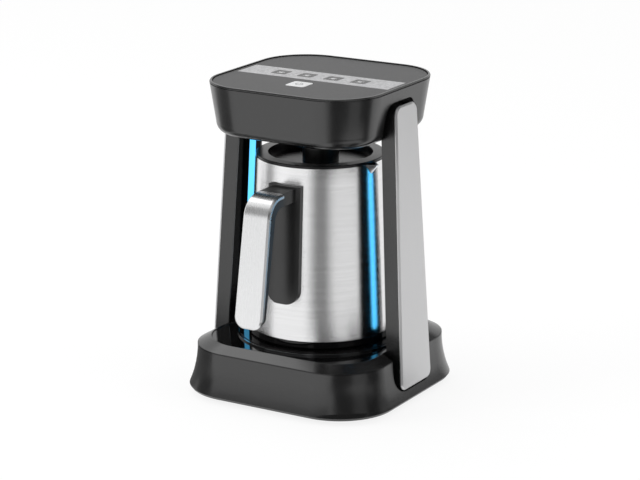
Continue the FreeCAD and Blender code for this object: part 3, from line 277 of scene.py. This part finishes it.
# %% [markdown]
# ## Dark cards
#
# The dark bands on the pot and the round corners are grey and black cards that they mirror. A ray from
# the camera leaves a wall of the base nearly level, goes a little down from the pot, and goes down
# steeply from the leaning head. So each of them sees its own part of the studio: cards stand round the
# maker, runners lie on the floor near and far, and three small uprights just below the head show in it
# alone. Only mirrored rays meet a card, so none of them takes light from the room. Runners that cross
# lie one layer above the other.

# %% Card helpers
CARDS_AWAY = 2.3
LAYER = 3 * MM
CAMERA_BEARING = math.degrees(math.atan2(CAMERA_PLACE.y - AXIS.y, CAMERA_PLACE.x - AXIS.x))


def around(bearing, away, height):
    """A point round the pot's axis; a bearing of 0 is towards the camera, and 90 is to its right."""
    turn = math.radians(CAMERA_BEARING + bearing)
    return AXIS + Vector((away * math.cos(turn), away * math.sin(turn), height))


def dark_card(name, corners, glow):
    """A sheet that only mirrored rays meet; glow is how bright it looks in them."""
    card = flat_sheet(name, corners)
    paint = new_material(name)
    paint.show(paint.node("ShaderNodeEmission", {}, {"Color": (1, 1, 1), "Strength": glow}))
    card.data.materials.append(paint.owner)
    card.visible_camera = False
    card.visible_diffuse = False
    card.visible_shadow = False
    card.visible_transmission = False


def runner(name, start, end, near, far, layer, glow):
    """A card that lies just above the floor, between two bearings and two distances."""
    height = layer * LAYER
    dark_card(name, [around(start, near, height), around(end, near, height),
                     around(end, far, height), around(start, far, height)], glow)


def upright(name, start, end, low, high, glow, away=CARDS_AWAY):
    dark_card(name, [around(start, away, low), around(end, away, low),
                     around(end, away, high), around(start, away, high)], glow)


print("cards are placed from bearing", round(CAMERA_BEARING))

# %% Dark cards
CARD_TOP = 2.2
FOOT = (0.1, 0.25)
POT = (0.27, CARDS_AWAY)
runner("front_soft_runner", -19, 18, *POT, 1, 0.55)
runner("front_runner", -11, 11, *POT, 2, 0.24)
runner("front_foot_runner", -6, 21, *FOOT, 3, 0.08)
upright("front_card", -11, 28, 0.0, CARD_TOP, 0.1)
runner("left_runner", -106, -88, *POT, 1, 0.42)
runner("left_foot_runner", -118, -76, *FOOT, 2, 0.2)
runner("left_head_runner", -124, -78, 0.3, 0.72, 2, 0.2)
upright("left_card", -116, -78, 0.0, CARD_TOP, 0.16)
upright("left_high_card", -76, -20, 0.58, 2.4, 0.3, away=2.25)
runner("grey_runner", 18, 64, *POT, 1, 0.8)
runner("grey_foot_runner", 21, 40, *FOOT, 2, 0.4)
upright("grey_card", 28, 54, 0.0, CARD_TOP, 0.32)
runner("right_runner", 66, 84, *POT, 2, 0.1)
runner("right_foot_runner", 40, 62, *FOOT, 3, 0.05)
upright("right_card", 54, 84, 0.0, CARD_TOP, 0.05)
runner("side_foot_runner", 62, 75, *FOOT, 2, 0.5)
upright("side_card", 84, 135, 0.0, 0.6, 0.3)
HEAD_CARDS = {"low": 0.156, "high": 0.2, "away": 0.17}
upright("front_head_card", -5, 23, glow=0.1, **HEAD_CARDS)
upright("grey_head_card", 23, 42, glow=0.4, **HEAD_CARDS)
upright("right_head_card", 42, 60, glow=0.05, **HEAD_CARDS)
BACK_CORNERS = [(-0.3, 0.1, 1.7), (1.5, -0.3, 1.7), (1.5, 3.0, 1.7), (-0.6, 3.0, 1.7)]
dark_card("back_card", BACK_CORNERS, 0.1)
print("cards placed, the far ones", CARDS_AWAY, "m away")

# %% [markdown]
# ## Plastics
#
# The shells are satin black: light spreads over them softly, and a fine spark-eroded grain breaks the
# reflections. The tray and the pot's foot are piano black, polished and almost a mirror. The lid lies
# between the two, and the smoked inner panels mirror hardly anything. All come from one recipe with its
# own roughness, grain and shine. A Bevel node rounds the look of each hard edge by a few tenths of a
# millimetre, as a mould does. The base also has a thin line of painted shade at the crease where its wall
# meets its
# rim: a mixed-in diffuse black darkens it as the groove there would shade it.

# %% Plastic recipe
def in_place(paint):
    return paint.node("ShaderNodeTexCoord").out("Object")


def bumped(paint, height, depth, edge):
    """A surface normal with rounded edges and a fine relief of the given depth in metres."""
    rounded = paint.node("ShaderNodeBevel", {"samples": 4}, {"Radius": edge})
    inputs = {"Height": height, "Distance": depth, "Strength": 1.0, "Normal": rounded}
    return paint.node("ShaderNodeBump", {}, inputs)


GRAIN_SCALE = 2600.0
MOULDED_EDGE = 0.4 * MM


def plastic(name, colour, roughness, grain=0.0, spread=0.04, ior=1.5, shine=0.5):
    """grain is the depth of the relief in metres, and spread is how much the roughness varies."""
    paint = new_material(name)
    place = in_place(paint)
    fine = paint.noise(place, GRAIN_SCALE, 3.0, 0.6)
    cloud = paint.noise(place, 38.0, 3.0, 0.55)
    tone = paint.between(cloud, 0.3, 0.7, 0.0, 1.0)
    darker = [value * 0.9 for value in colour]
    lighter = [value * 1.1 for value in colour]
    paint.shader(Base_Color=paint.blend(tone, darker, lighter),
                 Roughness=paint.between(cloud * 0.6 + fine * 0.4, 0.3, 0.7,
                                         roughness - spread, roughness + spread),
                 IOR=ior, Specular_IOR_Level=shine, Normal=bumped(paint, fine, grain, MOULDED_EDGE))
    return paint.owner


def painted_crease_shade(finish, height, half_width, share):
    """Paint shade as a thin dark line all round at one height, where the crease would be shaded."""
    paint = Paint(finish)
    level = paint.node("ShaderNodeSeparateXYZ", {}, [in_place(paint)]).out("Z")
    away = paint.node("ShaderNodeMath", {"operation": "ABSOLUTE"}, [level - height])
    # a diffuse black that paints the crease's shade
    dark = paint.node("ShaderNodeBsdfDiffuse", {}, {"Color": (0.003, 0.003, 0.003)})
    factor = paint.between(away, half_width * 0.3, half_width, share, 0.0)
    paint.show(paint.node("ShaderNodeMixShader", {}, [factor, paint.own_surface(), dark]))
    return finish


def wear(node, finish):
    item = nodes[node]
    item.data.materials.clear()
    item.data.materials.append(finish)


print("plastic recipe ready")

# %% Plastic finishes
SATIN = {"colour": (0.005, 0.005, 0.0052), "roughness": 0.24, "grain": 0.000006, "shine": 1.0}
CREASE_HEIGHT = 36.6 * MM
satin_black = plastic("satin_black", **SATIN)
# the base's satin black also carries a thin line of painted shade at the crease height
base_black = painted_crease_shade(plastic("base_black", **SATIN), CREASE_HEIGHT, 0.7 * MM, 0.5)
piano_black = plastic("piano_black", (0.003, 0.003, 0.0032), 0.06, spread=0.02)
lid_black = plastic("lid_black", (0.004, 0.004, 0.0042), 0.24, grain=0.000003, shine=0.4)
smoked_black = plastic("smoked_black", (0.004, 0.004, 0.0042), 0.2, grain=0.000002, ior=1.09)
moulded_black = plastic("moulded_black", (0.006, 0.006, 0.0062), 0.32, grain=0.000004, shine=0.85)
matt_black = plastic("matt_black", (0.02, 0.02, 0.021), 0.6, grain=0.00003)
rubber_black = plastic("rubber_black", (0.018, 0.018, 0.018), 0.75, grain=0.00003)
seal_grey = plastic("seal_grey", (0.09, 0.09, 0.09), 0.6, grain=0.00001)
key_white = plastic("key_white", (0.90, 0.905, 0.91), 0.35, grain=0.000004, spread=0.02)
window_dark = plastic("window_dark", (0.03, 0.03, 0.031), 0.25, grain=0.000002, shine=0.3)
for node in ("right_pillar", "left_pillar", "head_shell", "sensor_boss"):
    wear(node, satin_black)
wear("base_shell", base_black)
for node in ("base_tray", "heater_plate", "pot_foot_ring", "foam_sensor"):
    wear(node, piano_black)
wear("lid_disc", lid_black)
for node in ("right_inner_panel", "left_inner_panel"):
    wear(node, smoked_black)
for node in ("handle_moulding", "lid_knob"):
    wear(node, moulded_black)
wear("bottom_plate", matt_black)
wear("rubber_feet", rubber_black)
wear("cord_gland", rubber_black)
wear("lid_seal", seal_grey)
wear("power_key", key_white)
wear("cup_windows", window_dark)
print("plastics done")

# %% [markdown]
# ## The top of the head
#
# The panel is lacquered dark grey with a fine metal flake, and the strip behind the keys is lighter,
# like satin foil. Flake is made by a very fine cell pattern: each cell gets a slightly different tone.
# The foil also has a coarser mottle, with cells of over a millimetre, which the photograph shows plainly.

# %% Lacquer with flake
def cells(paint, scale):
    """A value that is the same all over each small cell and differs from cell to cell."""
    pattern = paint.node("ShaderNodeTexVoronoi", {}, {"Vector": in_place(paint), "Scale": scale})
    return paint.node("ShaderNodeSeparateColor", {}, [pattern.out("Color")])


FLAKE_CELLS = 2400.0
MOTTLE_CELLS = 640.0
FLAKE_DEPTH = 0.004 * MM
PANEL_EDGE = 0.3 * MM


def lacquer(name, colour, flake, roughness, metallic, mottle=0.0):
    """mottle is the share of coarse cells of over a millimetre among the fine flake."""
    paint = new_material(name)
    mixed = cells(paint, FLAKE_CELLS) * (1.0 - mottle) + cells(paint, MOTTLE_CELLS) * mottle
    tone = paint.between(mixed, 0.0, 1.0, 0.0, 1.0)
    paint.shader(Base_Color=paint.blend(tone, [value * (1 - flake) for value in colour],
                                        [min(1.0, value * (1 + flake)) for value in colour]),
                 Metallic=metallic,
                 Roughness=paint.between(tone, 0.0, 1.0, roughness - 0.05, roughness + 0.05),
                 Normal=bumped(paint, tone, FLAKE_DEPTH, PANEL_EDGE))
    return paint.owner


wear("top_panel", lacquer("panel_grey", (0.042, 0.042, 0.043), 0.14, 0.42, 0.1))
wear("key_strip", lacquer("strip_foil", (0.57, 0.57, 0.58), 0.28, 0.42, 0.35, mottle=0.7))
print("top panel and strip done")

# %% [markdown]
# ## Metals
#
# The pot is brushed round and round, so its scratches run level. They blur reflections up and down but
# keep them sharp from side to side, which is what turns the studio into upright bands of light. Noise
# that is squeezed two hundredfold along the height makes such scratches, and the same noise at a larger
# scale adds a few wide streaks. The trims and the handle plate are brushed along their length and finer.

# %% Brushed metal recipe
STREAK_SCALE = 0.04
METAL_EDGE = 0.3 * MM


def brushed(name, colour, roughness, stretch, depth, tone_change=0.06):
    """stretch gives the fineness of the scratches along x, y and z."""
    paint = new_material(name)
    place = in_place(paint)
    fine = paint.noise(place * stretch, 1.0, 4.0, 0.7)
    coarse = paint.noise(place * stretch * STREAK_SCALE, 1.0, 3.0, 0.6)
    scratch = fine * 0.5 + coarse * 0.5
    tone = paint.between(scratch, 0.3, 0.7, 0.0, 1.0)
    low = [value * (1 - tone_change) for value in colour]
    high = [min(1.0, value * (1 + tone_change)) for value in colour]
    paint.shader(Base_Color=paint.blend(tone, low, high), Metallic=1.0,
                 Roughness=paint.between(scratch, 0.3, 0.7, roughness - 0.03, roughness + 0.05),
                 Normal=bumped(paint, scratch, depth, METAL_EDGE))
    return paint.owner


pot_steel = brushed("pot_steel", (0.855, 0.855, 0.86), 0.16, (45, 45, 9000), 0.00006, 0.09)
trim_silver = brushed("trim_silver", (0.74, 0.74, 0.745), 0.42, (2500, 2500, 60), 0.000003, 0.02)
handle_metal = brushed("handle_metal", (0.91, 0.915, 0.92), 0.27, (1500, 40, 40), 0.000001, 0.015)
ring_chrome = brushed("ring_chrome", (0.20, 0.205, 0.21), 0.14, (300, 300, 300), 0.000001, 0.02)
wear("pot_body", pot_steel)
for node in ("right_trim", "left_trim"):
    wear(node, trim_silver)
wear("handle_plate", handle_metal)
wear("seat_ring", ring_chrome)
print("metals done")

# %% [markdown]
# ## Light bars
#
# Each pillar has a frosted bar lit from behind. The camera sees it as bright sky blue, and the pot and
# the tray mirror it as a thin line. One glowing colour does both. Its blue is stronger than white: the
# picture cuts it off at full, while a faint reflection on the tray keeps the true ratio and so looks
# deeper. A slow noise makes the glow a little uneven, as the lamps behind a real bar do.

# %% Light bar finish
def lit(name, colour, strength):
    paint = new_material(name)
    place = in_place(paint)
    cloud = paint.noise(place, 60.0, 2.0, 0.5)
    tone = paint.between(cloud, 0.3, 0.7, 0.0, 1.0)
    paint.shader(Base_Color=(0.05, 0.25, 0.5), Roughness=0.45, Emission_Strength=strength,
                 Emission_Color=paint.blend(tone, [value * 0.95 for value in colour], colour))
    return paint.owner


light_blue = lit("light_blue", (0.085, 0.52, 0.90), 1.55)
wear("right_light_bar", light_blue)
wear("left_light_bar", light_blue)
print("light bars done")

# %% [markdown]
# ## Inside pieces
#
# Boards, relay, heater and screws hide in the housings and show only when somebody takes a shell off.
# They still get plain finishes of their own.

# %% Inner finishes
board_green = plastic("board_green", (0.015, 0.12, 0.05), 0.35, grain=0.000004)
relay_blue = plastic("relay_blue", (0.02, 0.08, 0.3), 0.4, grain=0.000008)
tinted_steel = brushed("tinted_steel", (0.42, 0.38, 0.33), 0.32, (900, 900, 900), 0.000004)
screw_steel = brushed("screw_steel", (0.60, 0.60, 0.61), 0.28, (1200, 1200, 1200), 0.000003)
for node in ("power_board", "control_board", "right_light_board", "left_light_board"):
    wear(node, board_green)
wear("relay", relay_blue)
for node in ("heating_element", "thermostat"):
    wear(node, tinted_steel)
for node in ("base_screws", "board_screws", "knob_screw"):
    wear(node, screw_steel)
for node in ("buzzer", "tact_switch"):
    wear(node, matt_black)
print("inner pieces done")

# %% [markdown]
# ## Signs on the keys
#
# The dark windows and the white key carry small signs. They are thin prints, cut from flat outlines a
# few hundredths of a millimetre thick, so that they show at any size and stay sharp. Each one rides on
# the body that it is printed on.

# %% Print helpers
PRINT_THICK = 0.06 * MM


def ring_points(middle, radius, start=0.0, end=360.0, count=24):
    turns = [math.radians(start + (end - start) * step / count) for step in range(count + 1)]
    return [(middle[0] + radius * math.cos(turn), middle[1] + radius * math.sin(turn)) for turn in turns]


def band(middle, inner, outer, start=0.0, end=360.0):
    """Outline of a ring, or of a part of one."""
    return ring_points(middle, outer, start, end) + ring_points(middle, inner, end, start)


def bar(x, y, width, height):
    return [(x - width / 2, y - height / 2), (x + width / 2, y - height / 2),
            (x + width / 2, y + height / 2), (x - width / 2, y + height / 2)]


def printed(name, shapes, place, finish, body):
    """Turn flat outlines, in millimetres about a place, into one thin print."""
    work = bmesh.new()
    for shape in shapes:
        corners = [work.verts.new((x * MM, y * MM, 0)) for x, y in shape]
        face = work.faces.new(corners)
        raised = bmesh.ops.extrude_face_region(work, geom=[face])
        tops = [item for item in raised["geom"] if isinstance(item, bmesh.types.BMVert)]
        bmesh.ops.translate(work, verts=tops, vec=(0, 0, PRINT_THICK))
    bmesh.ops.triangulate(work, faces=work.faces[:], ngon_method="EAR_CLIP")
    bmesh.ops.recalc_face_normals(work, faces=work.faces[:])
    mesh = bpy.data.meshes.new(name)
    work.to_mesh(mesh)
    work.free()
    mesh.materials.append(finish)
    item = bpy.data.objects.new(name, mesh)
    bpy.context.scene.collection.objects.link(item)
    item.location = place
    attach(item, body)


sign_white = plastic("sign_white", (0.8, 0.8, 0.81), 0.5)
sign_grey = plastic("sign_grey", (0.30, 0.31, 0.32), 0.5)

# %% [markdown]
# ## Cups
#
# Each dark window has a small cup on it, with as many dots as it brews cups. The windows' own places are
# read from the frame, so the signs stay in the middle of them.

# %% Cup signs
CUPS = 4
windows_low, windows_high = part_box("cup_windows")
window_size = windows_high.y - windows_low.y
window_y = (windows_high.y + windows_low.y) / 2
first_x = windows_low.x + window_size / 2
step_x = (windows_high.x - windows_low.x - window_size) / (CUPS - 1)
cup = [(-2.0, 0.4), (-1.7, -1.2), (-1.1, -1.9), (1.1, -1.9), (1.7, -1.2), (2.0, 0.4)]
cup_ear = band((2.1, -0.5), 0.5, 0.95, -80, 100)
saucer = bar(0.0, -2.7, 5.0, 0.55)
for index in range(CUPS):
    dots = [ring_points(((dot - index / 2) * 1.25, 2.0), 0.42, 0, 345, 23) for dot in range(index + 1)]
    place = Vector((first_x + step_x * index, window_y, windows_high.z))
    printed(f"cup_sign_{index + 1}", [cup, cup_ear, saucer, *dots], place, sign_white,
            "stand")
print("cup signs at", round(first_x / MM, 1), "mm and every", round(step_x / MM, 1), "mm")

# %% [markdown]
# ## The power sign
#
# The white key has the usual sign for power, an open ring with a bar in its gap. It rides on the key's
# body, so it goes down when the key is pressed.

# %% Power sign
key_low, key_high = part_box("power_key")
key_middle = Vector(((key_low.x + key_high.x) / 2, (key_low.y + key_high.y) / 2, key_high.z))
printed("power_sign", [band((0, 0), 2.3, 3.0, 120, 420), bar(0, 2.2, 0.7, 2.6)], key_middle,
        sign_grey, "power_key")
print("power sign on the key at", round(key_high.z / MM, 1), "mm")
